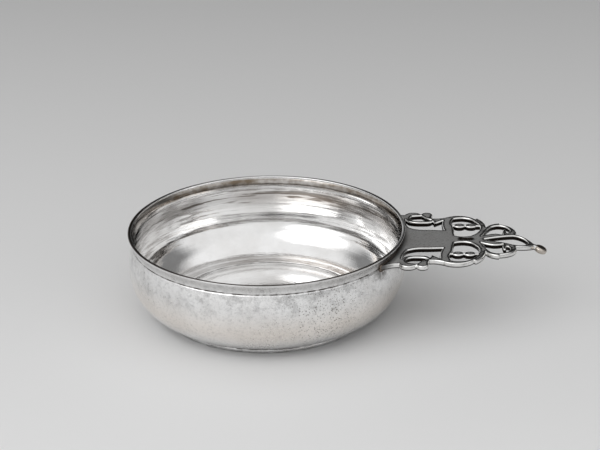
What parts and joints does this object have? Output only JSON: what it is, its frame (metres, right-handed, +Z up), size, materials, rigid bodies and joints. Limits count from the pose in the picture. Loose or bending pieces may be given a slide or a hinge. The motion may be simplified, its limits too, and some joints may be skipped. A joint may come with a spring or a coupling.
{
  "type": "porringer",
  "caption": "Shallow round silver porringer with a flared lip, a domed floor, a low foot ring and a flat pierced keyhole handle, for holding food and hanging up.",
  "frame": {"origin": "on the bowl's axis, in the plane of the foot ring's underside", "axes": "+X along the handle, away from the bowl; +Z up the bowl's axis"},
  "size_m": [0.202, 0.134, 0.0424],
  "materials": {
    "raised_silver": "planished and polished, worn soft",
    "cast_silver": "filed and polished, dark in the piercings",
    "solder": "tarnished"
  },
  "bodies": {
    "root": {"bowl": "raised_silver", "foot_ring": "raised_silver", "handle": "cast_silver", "handle_solder": "solder"}
  },
  "joints": []
}
